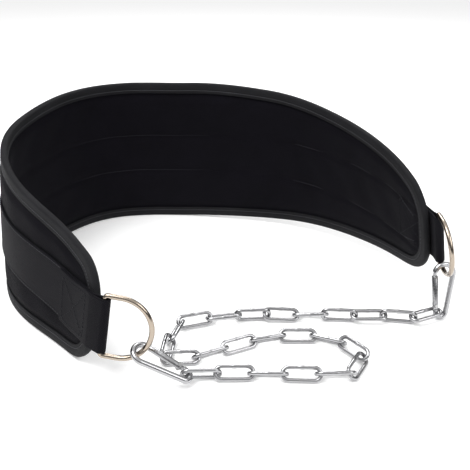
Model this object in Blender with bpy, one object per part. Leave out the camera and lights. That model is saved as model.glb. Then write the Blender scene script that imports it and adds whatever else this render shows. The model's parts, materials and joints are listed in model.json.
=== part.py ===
"""Dip belt: a padded back belt with a sewn webbing strap, two D-rings, two snap hooks and a chain.

The belt stands on its lower edge as a C in plan, open towards -Y, with the chain lying on the ground.
Units are metres, +Z is up and the ground is z = 0. The origin is where the belt's lower edge stands
on the ground at the middle of the back. A place on the belt is given as along (from the middle of
the back, towards the right end), across (up from the middle line) and out (from the middle of the
padding, away from the waist).
"""
import math

import bmesh
import bpy
import numpy as np
from mathutils import Matrix, Vector

# Padded panel
BELT_LENGTH = 0.810
BACK_WIDTH = 0.166
END_RADIUS = 0.026
PAD_THICKNESS = 0.007
RIM_THICKNESS = 0.0036
RIM_WIDTH = 0.012
RIM_SLOPE = 0.004
PANEL_STEPS = 36
CORNER_STEPS = 4

# Edge binding tape, folded over the rim
TAPE_THICKNESS = 0.001
TAPE_FOLD_WIDTH = 0.010
TAPE_GAP = 0.0006
CLEARANCE = 0.0003

# Webbing strap
STRAP_WIDTH = 0.047
STRAP_THICKNESS = 0.002
STRAP_TAIL = 0.048
LOOP_REACH = 0.013
LOOP_PINCH = 0.0006
LOOP_START = -128
LOOP_END = 62
LOOP_STEPS = 8

# D-rings
RING_WIRE = 0.0045
RING_INNER_WIDTH = 0.048
RING_INNER_DEPTH = 0.035
RING_CORNER_RADIUS = 0.0024
RING_SIDES = 8

# Snap hooks
HOOK_LENGTH = 0.056
HOOK_WIRE = 0.005
HOOK_WIDE_RADIUS = 0.0090
HOOK_NARROW_RADIUS = 0.0050
HOOK_RING_SLACK = 0.0016
HOOK_LINK_SLACK = 0.0010
HOOK_SIDES = 8
NOSE_WIRE = 0.0032
NOSE_LENGTH = 0.0026
TONGUE_THICKNESS = 0.0020
TONGUE_START = 0.003
TONGUE_TO_PIVOT = 0.0044
TONGUE_PAST_PIVOT = 0.0020
GATE_WIRE = 0.0054
GATE_PAST_PIVOT = 0.0022
GATE_GAP = 0.0007
SLOT_DEPTH = 0.0038
RIVET_RADIUS = 0.0010
RIVET_HEAD_RADIUS = 0.0017
RIVET_HEAD_HEIGHT = 0.0006
RIVET_SIDES = 12

# Chain
LINK_WIRE = 0.0035
LINK_PITCH = 0.0281
LINK_OUTER_WIDTH = 0.014
LINK_SIDES = 6
LINK_END_STEPS = 5

# Bend of the belt in plan: share of the half length, heading in degrees. Past 1 it is the strap's loop.
BEND = (
    (-1.0, 125),
    (-0.8, 137),
    (-0.6, 115),
    (-0.4, 74),
    (-0.2, 55),
    (0.0, 8),
    (0.2, -8),
    (0.4, -20),
    (0.6, -47),
    (0.8, -63),
    (1.0, -75),
    (1.022, -25),
)

# Pattern of the panel: share of the half length, share of the back width
TAPER = (
    (0.0, 1.0),
    (0.2, 0.99),
    (0.4, 0.935),
    (0.6, 0.815),
    (0.8, 0.69),
    (0.9, 0.61),
    (1.0, 0.46),
)

# The right arm is carried off the ground: share of the half length, share of the lift
RIGHT_LIFT = 0.031
RISE = (
    (-1.0, 0.38),
    (-0.9, 0.0),
    (0.0, 0.0),
    (0.1, 0.0),
    (0.2, 0.045),
    (0.4, 0.2),
    (0.6, 0.43),
    (0.8, 0.64),
    (0.9, 0.74),
    (1.0, 1.06),
)

# Lean of the top edge in towards the waist: share of the half length, degrees
LEAN = (
    (-1.0, 11),
    (-0.5, 5),
    (0.0, 3),
    (0.5, 2),
    (1.0, 10),
)

# How each end's ring and hook hang: ring swing about its bar, hook's place round the ring's bow,
# hook's heading over the ground, turn about its own length (degrees), height of its narrow end
HANG = {
    "left": {"swing": 50, "bow": -42, "heading": -6, "turn": 260, "rest": 0.0092},
    "right": {"swing": -64, "bow": -88, "heading": -95, "turn": 105, "rest": 0.0079},
}

# The chain's route over the ground, from the right hook to the left hook, in millimetres
CHAIN_ROUTE = (
    (287, -252),
    (259, -248),
    (227, -248),
    (172, -244),
    (117, -247),
    (89, -252),
    (65, -263),
    (63, -289),
    (58, -309),
    (81, -311),
    (104, -301),
    (129, -288),
    (156, -279),
    (183, -277),
    (209, -285),
    (229, -303),
    (227, -329),
    (199, -335),
    (141, -333),
    (113, -334),
)

# Roll of each link about its own length, in degrees: 0 stands on edge and 90 lies flat
LINK_ROLLS = (
    -85, 5, -75, 0, 60, -50, 10, 70, -40, 40, -40, 50,
    -45, 45, -45, 45, -45, 45, -45, 50, -40, 50, -45, 25,
)

HALF_LENGTH = BELT_LENGTH / 2
HALF_PAD = PAD_THICKNESS / 2
HALF_RIM = RIM_THICKNESS / 2
TAPE_EDGE = TAPE_GAP + TAPE_THICKNESS
MILLIMETRE = 0.001


def smooth_table(table, share):
    """Read a table at a share, on a smooth curve that never overshoots its rows."""
    places = [row[0] for row in table]
    values = [row[1] for row in table]
    slopes = [(values[i + 1] - values[i]) / (places[i + 1] - places[i]) for i in range(len(table) - 1)]
    tangents = [slopes[0]]
    for before, after in zip(slopes[:-1], slopes[1:]):
        tangents.append(0 if before * after <= 0 else 2 * before * after / (before + after))
    tangents.append(slopes[-1])
    share = min(max(share, places[0]), places[-1])
    row = min(max(int(np.searchsorted(places, share)) - 1, 0), len(slopes) - 1)
    span = places[row + 1] - places[row]
    t = (share - places[row]) / span
    start = (1 + 2 * t) * (1 - t) ** 2 * values[row] + t * (1 - t) ** 2 * span * tangents[row]
    end = t * t * (3 - 2 * t) * values[row + 1] + t * t * (t - 1) * span * tangents[row + 1]
    return start + end


# The belt's course in plan, worked out once at even steps
COURSE_STEPS = 860
COURSE_END = HALF_LENGTH + 2 * LOOP_REACH
COURSE_ALONG = np.linspace(-COURSE_END, COURSE_END, COURSE_STEPS + 1)
COURSE_HEADING = np.radians([smooth_table(BEND, along / HALF_LENGTH) for along in COURSE_ALONG])


def square_half_width(along):
    """Half the panel's width before its corners are rounded."""
    return BACK_WIDTH / 2 * smooth_table(TAPER, min(abs(along) / HALF_LENGTH, 1))


def half_width(along):
    """Half the panel's width, with its round end corners."""
    into_corner = max(abs(along) - (HALF_LENGTH - END_RADIUS), 0)
    drop = END_RADIUS - math.sqrt(max(END_RADIUS ** 2 - into_corner ** 2, 0))
    return square_half_width(along) - drop


def foot_height(along):
    """Height of the belt's lower edge above the ground."""
    return RIGHT_LIFT * smooth_table(RISE, along / HALF_LENGTH)


def course_points():
    """Sum up the headings into plan points. The belt's foot at the middle of the back is x = y = 0."""
    step = 2 * COURSE_END / COURSE_STEPS
    middle = (COURSE_HEADING[1:] + COURSE_HEADING[:-1]) / 2
    x = np.concatenate([[0], np.cumsum(np.cos(middle) * step)])
    y = np.concatenate([[0], np.cumsum(np.sin(middle) * step)])
    heading = float(np.interp(0, COURSE_ALONG, COURSE_HEADING))
    foot = (square_half_width(0) + TAPE_EDGE) * math.sin(math.radians(smooth_table(LEAN, 0)))
    x += math.sin(heading) * foot - np.interp(0, COURSE_ALONG, x)
    y -= math.cos(heading) * foot + np.interp(0, COURSE_ALONG, y)
    return x, y


COURSE_X, COURSE_Y = course_points()


def belt_frame(along):
    """Point on the middle line, heading, outward and upward directions there."""
    inside = min(max(along, -HALF_LENGTH), HALF_LENGTH)
    heading = float(np.interp(inside, COURSE_ALONG, COURSE_HEADING))
    tangent = Vector((math.cos(heading), math.sin(heading), 0))
    lean = math.radians(smooth_table(LEAN, inside / HALF_LENGTH))
    away = Vector((-tangent.y, tangent.x, 0))
    up = Vector((0, 0, 1)) * math.cos(lean) - away * math.sin(lean)
    out = away * math.cos(lean) + Vector((0, 0, 1)) * math.sin(lean)
    x = float(np.interp(inside, COURSE_ALONG, COURSE_X))
    y = float(np.interp(inside, COURSE_ALONG, COURSE_Y))
    rise = foot_height(inside) + (square_half_width(inside) + TAPE_EDGE) * math.cos(lean)
    point = Vector((x, y, rise))
    if along == inside:
        return point, tangent, out, up
    # Past the pad's end only the strap goes on, and it turns about the end's own upward direction
    past = Vector((float(np.interp(along, COURSE_ALONG, COURSE_X)) - x,
                   float(np.interp(along, COURSE_ALONG, COURSE_Y)) - y, 0))
    point += tangent * past.dot(tangent) + out * past.dot(away)
    turn = float(np.interp(along, COURSE_ALONG, COURSE_HEADING)) - heading
    turned = Matrix.Rotation(turn, 3, up)
    return point, turned @ tangent, turned @ out, up


def place(along, across, out_by):
    """Point of the belt in space."""
    point, tangent, out, up = belt_frame(along)
    return point + up * across + out * out_by


def material(name, colour, roughness, metallic):
    """Principled material of one sub-part."""
    made = bpy.data.materials.new(name)
    made.use_nodes = True
    shader = made.node_tree.nodes["Principled BSDF"]
    shader.inputs["Base Color"].default_value = (*colour, 1)
    shader.inputs["Roughness"].default_value = roughness
    shader.inputs["Metallic"].default_value = metallic
    return made


def add_solid(name, points, faces, finish, origin=None):
    """One closed object from points in space, with its own origin if it moves."""
    origin = Vector(origin) if origin else Vector((0, 0, 0))
    mesh = bpy.data.meshes.new(name)
    mesh.from_pydata([Vector(point) - origin for point in points], [], faces)
    shape = bmesh.new()
    shape.from_mesh(mesh)
    # The same diagonals everywhere keep the strap's facets parallel to those of the panel under it
    bmesh.ops.triangulate(shape, faces=shape.faces, quad_method="FIXED")
    bmesh.ops.recalc_face_normals(shape, faces=shape.faces)
    shape.to_mesh(mesh)
    shape.free()
    mesh.shade_smooth()
    mesh.set_sharp_from_angle(angle=math.radians(40))
    made = bpy.data.objects.new(name, mesh)
    made.location = origin
    made.data.materials.append(finish)
    bpy.context.scene.collection.objects.link(made)
    return made


def skin_rings(rings, closed):
    """Points and faces of a solid through rings of equal count, closed on itself or capped."""
    count = len(rings[0])
    points = [point for ring in rings for point in ring]
    faces = []
    spans = len(rings) if closed else len(rings) - 1
    for i in range(spans):
        here = i * count
        there = (i + 1) % len(rings) * count
        for j in range(count):
            k = (j + 1) % count
            faces.append((here + j, here + k, there + k, there + j))
    if not closed:
        faces.append(tuple(reversed(range(count))))
        faces.append(tuple(range((len(rings) - 1) * count, len(rings) * count)))
    return points, faces


def flat_wire(path, normal, radii, sides, closed):
    """Rings of a wire along a path in one plane. radii holds (in plane, along normal) for each point."""
    rings = []
    last = len(path) - 1
    for i, point in enumerate(path):
        before = path[(i - 1) % len(path)] if closed or i > 0 else point
        after = path[(i + 1) % len(path)] if closed or i < last else point
        run_in = (point - before).normalized() if before is not point else (after - point).normalized()
        run_out = (after - point).normalized() if after is not point else run_in
        tangent = (run_in + run_out).normalized()
        side = tangent.cross(normal).normalized()
        stretch = 1 / max(tangent.dot(run_out), 0.5)
        in_plane, along_normal = radii[i]
        ring = []
        for j in range(sides):
            angle = 2 * math.pi * (j + 0.5) / sides
            ring.append(point + side * (in_plane * stretch * math.cos(angle))
                        + normal * (along_normal * math.sin(angle)))
        rings.append(ring)
    return rings


def arc(centre, radius, start, end, steps):
    """Points of an arc in the local plane, angles in degrees, both ends included."""
    return [
        (centre[0] + radius * math.cos(math.radians(start + (end - start) * i / steps)),
         centre[1] + radius * math.sin(math.radians(start + (end - start) * i / steps)))
        for i in range(steps + 1)
    ]


def panel_stations():
    """Places along the panel where its sections stand, closer together round the end corners."""
    corner = [HALF_LENGTH - END_RADIUS * (1 - math.sin(math.radians(90 * i / CORNER_STEPS)))
              for i in range(1, CORNER_STEPS + 1)]
    corner += [HALF_LENGTH - RIM_WIDTH, HALF_LENGTH - RIM_WIDTH - RIM_SLOPE]
    corner.sort()
    straight = HALF_LENGTH - END_RADIUS
    middle = [straight * (2 * i / PANEL_STEPS - 1) for i in range(PANEL_STEPS + 1)]
    return [-along for along in reversed(corner)] + middle + corner


def pad_half_thickness(along, across):
    """Half the padding's thickness, thin under the binding and full inside it."""
    to_edge = min(half_width(along) - abs(across), HALF_LENGTH - abs(along))
    past_along = abs(along) - (HALF_LENGTH - END_RADIUS)
    past_across = abs(across) - (square_half_width(along) - END_RADIUS)
    if past_along > 0 and past_across > 0:
        to_edge = END_RADIUS - math.hypot(past_along, past_across)
    share = min(max((to_edge - RIM_WIDTH) / RIM_SLOPE, 0), 1)
    return HALF_RIM + (HALF_PAD - HALF_RIM) * share


def build_belt_body(finish):
    rings = []
    for along in panel_stations():
        half = half_width(along)
        inner = half - RIM_WIDTH
        full = half - RIM_WIDTH - RIM_SLOPE
        middle = min(STRAP_WIDTH / 2, 0.9 * full)
        columns = [-half, -inner, -full, -middle, middle, full, inner, half]
        outer = [place(along, across, pad_half_thickness(along, across)) for across in columns]
        waist = [place(along, across, -pad_half_thickness(along, across)) for across in reversed(columns)]
        rings.append(outer + waist)
    return add_solid("belt_body", *skin_rings(rings, False), finish)


def edge_inward(along, across):
    """Direction in from the panel's edge, in the flat pattern."""
    if abs(along) >= HALF_LENGTH:
        return Vector((-math.copysign(1, along), 0))
    tiny = END_RADIUS * 1e-4
    slope = (half_width(along + tiny) - half_width(along - tiny)) / (2 * tiny)
    return Vector((slope, -math.copysign(1, across))).normalized()


def panel_outline():
    """Pattern points round the panel's edge: along, across and whether the belt stands there."""
    stations = panel_stations()
    straight = HALF_LENGTH - END_RADIUS
    lower = [(along, -half_width(along), abs(along) <= straight) for along in stations]
    upper = [(along, half_width(along), False) for along in reversed(stations)]
    return lower + upper


def build_edge_binding(finish):
    inside = HALF_RIM + TAPE_GAP
    outside = inside + TAPE_THICKNESS
    bevel = TAPE_THICKNESS
    # Section of the folded tape: depth in from the panel's edge, out from its middle
    section = (
        (TAPE_FOLD_WIDTH, outside),
        (bevel - TAPE_EDGE, outside),
        (-TAPE_EDGE, outside - bevel),
        (-TAPE_EDGE, bevel - outside),
        (bevel - TAPE_EDGE, -outside),
        (TAPE_FOLD_WIDTH, -outside),
        (TAPE_FOLD_WIDTH, -inside),
        (-TAPE_GAP, -inside),
        (-TAPE_GAP, inside),
        (TAPE_FOLD_WIDTH, inside),
    )
    rings = []
    for along, across, on_ground_side in panel_outline():
        inward = edge_inward(along, across)
        ring = []
        for depth, out_by in section:
            point = place(along + inward.x * depth, across + inward.y * depth, out_by)
            # The tape's fold is pressed flat where the belt stands on it
            if on_ground_side and depth == -TAPE_EDGE:
                point.z = foot_height(along)
            ring.append(point)
        rings.append(ring)
    return add_solid("edge_binding", *skin_rings(rings, True), finish)


STRAP_MIDDLE = HALF_PAD + CLEARANCE + STRAP_THICKNESS / 2
TAIL_MIDDLE = STRAP_MIDDLE + STRAP_THICKNESS + CLEARANCE
BAR_ALONG = HALF_LENGTH + LOOP_REACH
LOOP_HALF_STEP = math.radians(LOOP_END - LOOP_START) / LOOP_STEPS / 2
LOOP_RADIUS = (RING_WIRE / 2 + CLEARANCE + STRAP_THICKNESS / 2) / math.cos(LOOP_HALF_STEP)


def strap_course():
    """Middle line of the strap as (along, out): tail, left loop, outer face, right loop, tail."""
    pinch = HALF_LENGTH + TAPE_EDGE + LOOP_PINCH
    loop = arc((BAR_ALONG, 0), LOOP_RADIUS, LOOP_START, LOOP_END, LOOP_STEPS)
    right = [(pinch, STRAP_MIDDLE)] + loop + [(pinch, TAIL_MIDDLE + CLEARANCE)]
    right += [(HALF_LENGTH - share * STRAP_TAIL, TAIL_MIDDLE) for share in (0.2, 0.5, 0.75, 1)]
    left = [(-along, out_by) for along, out_by in reversed(right)]
    middle = [(along, STRAP_MIDDLE) for along in panel_stations()[1:-1]]
    return left + middle + right


def build_webbing_strap(finish):
    course = [Vector(point) for point in strap_course()]
    half = STRAP_THICKNESS / 2
    rings = []
    for i, point in enumerate(course):
        before = course[i - 1] if i > 0 else None
        after = course[i + 1] if i < len(course) - 1 else None
        run_in = (point - before).normalized() if before else (after - point).normalized()
        run_out = (after - point).normalized() if after else run_in
        run = (run_in + run_out).normalized()
        side = Vector((-run.y, run.x)) * (half / max(run.dot(run_out), 0.5))
        one = point + side
        other = point - side
        rings.append([
            place(one.x, STRAP_WIDTH / 2, one.y),
            place(one.x, -STRAP_WIDTH / 2, one.y),
            place(other.x, -STRAP_WIDTH / 2, other.y),
            place(other.x, STRAP_WIDTH / 2, other.y),
        ])
    return add_solid("webbing_strap", *skin_rings(rings, False), finish)


def ring_frame(side):
    """Matrix of a D-ring: x away from its bar, y along the bar, z across its plane."""
    sign = -1 if side == "left" else 1
    bar_along = sign * BAR_ALONG
    point, tangent, _, up = belt_frame(bar_along)
    slip = (RING_INNER_WIDTH - STRAP_WIDTH) / 2 - CLEARANCE
    bar = point - up * slip
    swing = Matrix.Rotation(math.radians(HANG[side]["swing"]), 3, up)
    away = swing @ (tangent * sign)
    across = away.cross(up)
    frame = Matrix((away, up, across)).transposed().to_4x4()
    frame.translation = bar
    return frame


RING_HALF = (RING_INNER_WIDTH + RING_WIRE) / 2
RING_BOW_CENTRE = RING_INNER_DEPTH + RING_WIRE - RING_HALF


def build_d_ring(side, finish):
    corner = RING_CORNER_RADIUS
    shape = [(0, corner - RING_HALF), (0, RING_HALF - corner)]
    shape += arc((corner, RING_HALF - corner), corner, 180, 90, 3)[1:]
    shape += arc((RING_BOW_CENTRE, 0), RING_HALF, 90, -90, 12)
    shape += arc((corner, corner - RING_HALF), corner, -90, -180, 3)[:-1]
    frame = ring_frame(side)
    path = [frame @ Vector((x, y, 0)) for x, y in shape]
    normal = frame.to_3x3() @ Vector((0, 0, 1))
    radii = [(RING_WIRE / 2, RING_WIRE / 2)] * len(path)
    rings = flat_wire(path, normal, radii, RING_SIDES, True)
    return add_solid("d_ring_" + side, *skin_rings(rings, True), finish)


# A hook's own frame: x towards its spine, y towards its wide end, origin at the wide end's centre
HOOK_CENTRES = HOOK_LENGTH - HOOK_WIRE - HOOK_WIDE_RADIUS - HOOK_NARROW_RADIUS
HOOK_RING_SEAT = HOOK_WIDE_RADIUS - HOOK_WIRE / 2 - HOOK_RING_SLACK - RING_WIRE / 2
HOOK_LINK_SEAT = HOOK_WIRE / 2 + HOOK_LINK_SLACK + LINK_WIRE / 2 - HOOK_NARROW_RADIUS - HOOK_CENTRES
HOOK_SIDE_ANGLE = math.degrees(math.asin((HOOK_WIDE_RADIUS - HOOK_NARROW_RADIUS) / HOOK_CENTRES))
HOOK_SIDE_RUN = math.sqrt(HOOK_CENTRES ** 2 - (HOOK_WIDE_RADIUS - HOOK_NARROW_RADIUS) ** 2)


def gate_line(distance):
    """Point on the hook's open side, measured from the narrow end's arc towards the nose."""
    angle = math.radians(180 + HOOK_SIDE_ANGLE)
    start = Vector((HOOK_NARROW_RADIUS * math.cos(angle), HOOK_NARROW_RADIUS * math.sin(angle) - HOOK_CENTRES))
    end = Vector((HOOK_WIDE_RADIUS * math.cos(angle), HOOK_WIDE_RADIUS * math.sin(angle)))
    return start.lerp(end, distance / HOOK_SIDE_RUN)


PIVOT_DISTANCE = TONGUE_START + TONGUE_TO_PIVOT


def hook_frame(side):
    """Matrix of a hook that holds its ring and lies with its narrow end on the ground."""
    hang = HANG[side]
    ring = ring_frame(side)
    bow = math.radians(hang["bow"])
    seat = ring @ Vector((RING_BOW_CENTRE + RING_HALF * math.cos(bow), RING_HALF * math.sin(bow), 0))
    reach = HOOK_RING_SEAT - HOOK_LINK_SEAT
    drop = math.asin(min((seat.z - hang["rest"]) / reach, 1))
    heading = math.radians(hang["heading"])
    level = Vector((math.cos(heading), math.sin(heading), 0))
    down = level * math.cos(drop) - Vector((0, 0, 1)) * math.sin(drop)
    y = -down
    z = level.cross(Vector((0, 0, 1)))
    z.rotate(Matrix.Rotation(math.radians(hang["turn"]), 3, y))
    x = y.cross(z)
    frame = Matrix((x, y, z)).transposed().to_4x4()
    frame.translation = seat - y * HOOK_RING_SEAT
    return frame


def hook_bow(start):
    """The hook's wire from near its nose, over the wide end and the spine, round the narrow end."""
    wide = arc((0, 0), HOOK_WIDE_RADIUS, start, -HOOK_SIDE_ANGLE, 12)
    return wide + arc((0, -HOOK_CENTRES), HOOK_NARROW_RADIUS, -HOOK_SIDE_ANGLE, HOOK_SIDE_ANGLE - 180, 8)


def cut_through(target, cutter):
    """Cut one solid out of another and leave no modifier."""
    cutter.hide_render = True
    cutter.display_type = "WIRE"
    cut = target.modifiers.new("cut", "BOOLEAN")
    cut.operation = "DIFFERENCE"
    cut.object = cutter


def pin_rings(centre, axis, side, radius, low, high):
    """Rings of a round pin along an axis."""
    other = axis.cross(side)
    rings = []
    for height in (low, high):
        rings.append([centre + axis * height
                      + side * (radius * math.cos(2 * math.pi * j / RIVET_SIDES))
                      + other * (radius * math.sin(2 * math.pi * j / RIVET_SIDES))
                      for j in range(RIVET_SIDES)])
    return rings


def build_snap_hook(side, hook_finish, gate_finish, rivet_finish):
    frame = hook_frame(side)
    turn = frame.to_3x3()
    normal = turn @ Vector((0, 0, 1))
    round_wire = (HOOK_WIRE / 2, HOOK_WIRE / 2)
    nose_wire = (NOSE_WIRE / 2, NOSE_WIRE / 2)
    tongue = (HOOK_WIRE / 2, TONGUE_THICKNESS / 2)
    nose_turn = math.degrees(NOSE_LENGTH / HOOK_WIDE_RADIUS)
    open_side = 180 + HOOK_SIDE_ANGLE

    shape = arc((0, 0), HOOK_WIDE_RADIUS, open_side, open_side - nose_turn, 1)
    radii = [nose_wire, nose_wire]
    bow = hook_bow(open_side - nose_turn - 1)
    shoulder = gate_line(TONGUE_START)
    tongue_root = gate_line(TONGUE_START + CLEARANCE)
    tongue_end = gate_line(PIVOT_DISTANCE + TONGUE_PAST_PIVOT)
    shape += bow + [tuple(shoulder), tuple(tongue_root), tuple(tongue_end)]
    radii += [round_wire] * (len(bow) + 1) + [tongue, tongue]
    path = [frame @ Vector((x, y, 0)) for x, y in shape]
    rings = flat_wire(path, normal, radii, HOOK_SIDES, False)
    body = add_solid("snap_hook_" + side, *skin_rings(rings, False), hook_finish)

    pivot = frame @ gate_line(PIVOT_DISTANCE).to_3d()
    line = (gate_line(HOOK_SIDE_RUN) - gate_line(0)).normalized()
    along = turn @ line.to_3d()
    across = along.cross(normal)
    tip = frame @ gate_line(HOOK_SIDE_RUN - GATE_GAP).to_3d()
    back = pivot - along * GATE_PAST_PIVOT
    gate_radii = [(GATE_WIRE / 2, GATE_WIRE / 2)] * 2
    gate_rings = flat_wire([back, tip], normal, gate_radii, HOOK_SIDES, False)
    gate = add_solid("gate_" + side, *skin_rings(gate_rings, False), gate_finish, pivot)

    slot_half = TONGUE_THICKNESS / 2 + CLEARANCE
    slot_side = GATE_WIRE
    slot_rings = []
    for run in (-2 * GATE_PAST_PIVOT, SLOT_DEPTH):
        slot_rings.append([pivot + along * run + across * (slot_side * a) + normal * (slot_half * b)
                           for a, b in ((1, 1), (-1, 1), (-1, -1), (1, -1))])
    slot = add_solid("slot_cutter_" + side, *skin_rings(slot_rings, False), gate_finish)
    cut_through(gate, slot)

    hole = add_solid(
        "rivet_cutter_" + side,
        *skin_rings(pin_rings(pivot, normal, along, RIVET_RADIUS + CLEARANCE, -GATE_WIRE, GATE_WIRE), False),
        gate_finish,
    )
    cut_through(gate, hole)
    cut_through(body, hole)

    head = GATE_WIRE / 2 + CLEARANCE
    rivet_rings = pin_rings(pivot, normal, along, RIVET_HEAD_RADIUS, -head - RIVET_HEAD_HEIGHT, -head)
    rivet_rings += pin_rings(pivot, normal, along, RIVET_RADIUS, -head, head)
    rivet_rings += pin_rings(pivot, normal, along, RIVET_HEAD_RADIUS, head, head + RIVET_HEAD_HEIGHT)
    add_solid("rivet_" + side, *skin_rings(rivet_rings, False), rivet_finish)
    return pivot, normal


def hook_end(side):
    """Where the chain's end wire sits in a hook's narrow end."""
    return hook_frame(side) @ Vector((0, HOOK_LINK_SEAT, 0))


# From a place where two links meet to the middle of either link's end wire, on a straight run
LINK_HOLD = LINK_WIRE / 2 + CLEARANCE
TURN_PASSES = 6
LEAST_COSINE = 0.4
SETTLE_PASSES = 120
PARTING_STEPS = 14


def route_curve():
    """Dense points of a smooth line over the ground, from the right hook to the left hook."""
    start = hook_end("right").to_2d()
    end = hook_end("left").to_2d()
    knots = [start] + [Vector(point) * MILLIMETRE for point in CHAIN_ROUTE] + [end]
    knots = [knots[0] * 2 - knots[1]] + knots + [knots[-1] * 2 - knots[-2]]
    steps = 80
    curve = []
    for a, b, c, d in zip(knots[:-3], knots[1:-2], knots[2:-1], knots[3:]):
        for i in range(steps):
            t = i / steps
            curve.append(0.5 * (2 * b + (c - a) * t + (2 * a - 5 * b + 4 * c - d) * t ** 2
                                + (3 * b - a - 3 * c + d) * t ** 3))
    return [point for point in curve if min((point - start).length, (point - end).length) > LINK_HOLD]


def link_height(roll):
    """Height of a link's middle when it lies on the ground at a roll."""
    half_gauge = (LINK_OUTER_WIDTH - LINK_WIRE) / 2
    return half_gauge * abs(math.cos(math.radians(roll))) + LINK_WIRE / 2


def joint_heights():
    """Heights of the places where links meet, so that every link stays off the ground's far side."""
    heights = [link_height(roll) for roll in LINK_ROLLS]
    joints = [max(pair) for pair in zip(heights[:-1], heights[1:])]
    return [hook_end("right").z] + joints + [hook_end("left").z]


def march(curve, heights, holds):
    """Step along the curve by each link's own reach. Returns the joints and the gap left at the end."""
    joints = [curve[0].to_3d()]
    joints[0].z = heights[0]
    index = 0
    for i, height in enumerate(heights[1:]):
        here = joints[-1]
        reach = LINK_PITCH + LINK_WIRE - holds[i] - holds[i + 1]
        level = math.sqrt(reach ** 2 - (height - here.z) ** 2)
        while index < len(curve) - 1 and (curve[index] - here.to_2d()).length < level:
            index += 1
        if (curve[index] - here.to_2d()).length < level * (1 - 1e-6):
            return joints, -1
        inner = curve[index - 1]
        outer = curve[index]
        reach_in = (inner - here.to_2d()).length
        reach_out = (outer - here.to_2d()).length
        share = (level - reach_in) / (reach_out - reach_in) if reach_out > reach_in else 1
        spot = inner.lerp(outer, share)
        joints.append(Vector((spot.x, spot.y, height)))
    left_over = sum((b - a).length for a, b in zip(curve[index:-1], curve[index + 1:]))
    return joints, left_over + (curve[index] - joints[-1].to_2d()).length


def chain_joints():
    """Places where neighbouring links meet, and how far past them each end wire's middle lies."""
    curve = route_curve()
    heights = joint_heights()
    openings = [1] * len(heights)
    for _ in range(TURN_PASSES):
        tight = 0.8 * LINK_HOLD
        loose = 2 * LINK_HOLD
        for _ in range(24):
            hold = (tight + loose) / 2
            holds = [LINK_HOLD] + [hold * opening for opening in openings[1:-1]] + [LINK_HOLD]
            joints, left_over = march(curve, heights, holds)
            if left_over < 0:
                tight = hold
            else:
                loose = hold
                best = joints, holds
        joints, holds = best
        runs = [(after - before).normalized() for before, after in zip(joints[:-1], joints[1:])]
        # Where the chain turns, two links hold each other by their sides and draw closer
        turns = [max((run_in + run_out).length / 2, LEAST_COSINE) for run_in, run_out in zip(runs[:-1], runs[1:])]
        openings = [1] + [1 / cosine for cosine in turns] + [1]
    return joints, holds


def link_loops():
    """Middle lines of all links as laid along the route, and the direction across each link's plane."""
    half_gauge = (LINK_OUTER_WIDTH - LINK_WIRE) / 2
    half_straight = (LINK_PITCH + LINK_WIRE) / 2 - half_gauge
    shape = arc((half_straight, 0), half_gauge, -90, 90, LINK_END_STEPS)
    shape += arc((-half_straight, 0), half_gauge, 90, 270, LINK_END_STEPS)
    joints, holds = chain_joints()
    loops = []
    normals = []
    for i, (start, end) in enumerate(zip(joints[:-1], joints[1:])):
        run = (end - start).normalized()
        level = run.cross(Vector((0, 0, 1))).normalized()
        above = level.cross(run)
        roll = math.radians(LINK_ROLLS[i])
        normal = level * math.cos(roll) + above * math.sin(roll)
        side = normal.cross(run)
        centre = (start + end) / 2 + run * ((holds[i + 1] - holds[i]) / 2)
        loops.append(np.array([centre + run * x + side * y for x, y in shape]))
        normals.append(normal)
    return loops, normals


def parting(one, other, distance):
    """Shift that brings the other closed line to at least a distance from the first."""
    shares = np.arange(PARTING_STEPS)[:, None, None] / PARTING_STEPS
    fine_one = (one * (1 - shares) + np.roll(one, -1, axis=0) * shares).reshape(-1, 3)
    fine_other = (other * (1 - shares) + np.roll(other, -1, axis=0) * shares).reshape(-1, 3)
    between = fine_other[None] - fine_one[:, None]
    lengths = np.sqrt((between ** 2).sum(axis=2))
    nearest = np.unravel_index(lengths.argmin(), lengths.shape)
    length = lengths[nearest]
    return between[nearest] * (max(distance - length, 0) / length)


def settle_links(loops):
    """Shift whole links until all wires are clear of each other, of the hooks and of the ground."""
    hooks = []
    for side in ("right", "left"):
        frame = hook_frame(side)
        hooks.append(np.array([frame @ Vector((x, y, 0)) for x, y in hook_bow(180 + HOOK_SIDE_ANGLE)]))
    link_gap = LINK_WIRE + CLEARANCE
    hook_gap = (LINK_WIRE + GATE_WIRE) / 2 + CLEARANCE
    for _ in range(SETTLE_PASSES):
        for i in range(len(loops) - 1):
            shift = parting(loops[i], loops[i + 1], link_gap)
            loops[i] = loops[i] - shift / 2
            loops[i + 1] = loops[i + 1] + shift / 2
        loops[0] = loops[0] + parting(hooks[0], loops[0], hook_gap)
        loops[-1] = loops[-1] + parting(hooks[1], loops[-1], hook_gap)
        for loop in loops:
            loop[:, 2] += max(LINK_WIRE / 2 - loop[:, 2].min(), 0)
    return loops


def build_chain(finish):
    loops, normals = link_loops()
    for i, (loop, normal) in enumerate(zip(settle_links(loops), normals)):
        path = [Vector(point) for point in loop]
        radii = [(LINK_WIRE / 2, LINK_WIRE / 2)] * len(path)
        rings = flat_wire(path, normal, radii, LINK_SIDES, True)
        add_solid("chain_link_%02d" % (i + 1), *skin_rings(rings, True), finish)


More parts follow.
